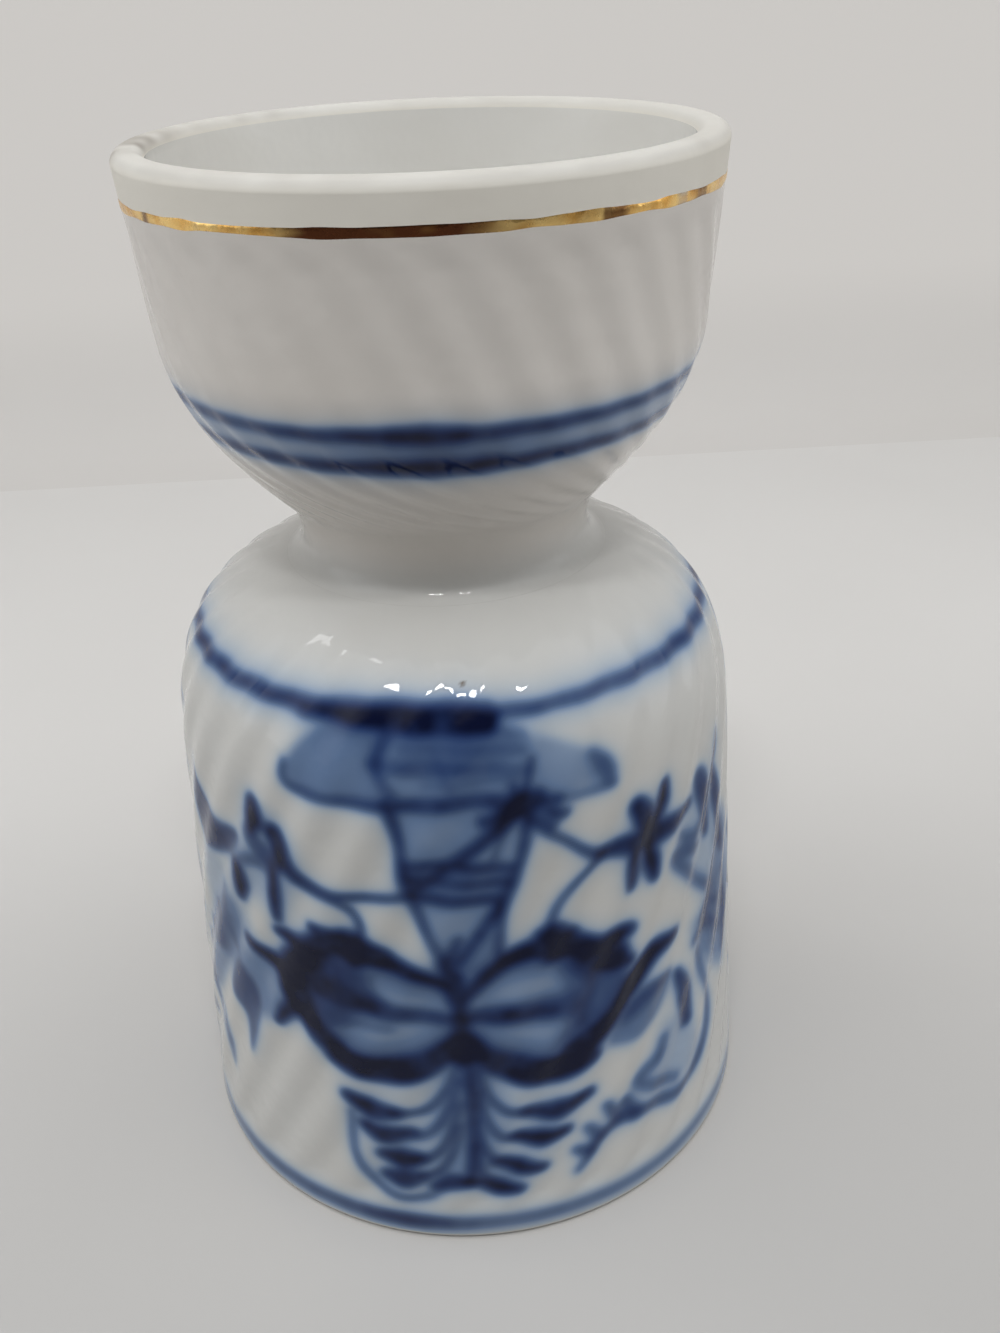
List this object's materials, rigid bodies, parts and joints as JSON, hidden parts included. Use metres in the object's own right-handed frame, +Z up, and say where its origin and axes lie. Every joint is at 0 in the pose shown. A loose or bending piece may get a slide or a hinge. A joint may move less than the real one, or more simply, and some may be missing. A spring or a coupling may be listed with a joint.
{
  "type": "double egg cup",
  "caption": "Double egg cup in spiral fluted white porcelain: a small egg bowl joined by a smooth waist to a larger bowl turned mouth down as its foot, with gold and cobalt lines.",
  "frame": {"origin": "centre of the foot ring, on the plane that the cup stands on", "axes": "+Z up along the axis of both bowls; -Y is the side that faces the viewer in the picture"},
  "size_m": [0.0534, 0.0534, 0.089],
  "materials": {
    "porcelain": "clear gloss glaze over white porcelain",
    "gold": "fired gold, worn",
    "cobalt": "cobalt under a gloss glaze",
    "dark_cobalt": "thick cobalt under a gloss glaze",
    "pale_cobalt": "thin cobalt under a gloss glaze"
  },
  "bodies": {
    "root": {"large_bowl": "porcelain", "waist": "porcelain", "small_bowl": "porcelain", "gold_line": "gold", "upper_blue_line": "cobalt", "lower_blue_line": "cobalt", "shoulder_line": "dark_cobalt", "foot_line": "pale_cobalt"}
  },
  "joints": []
}
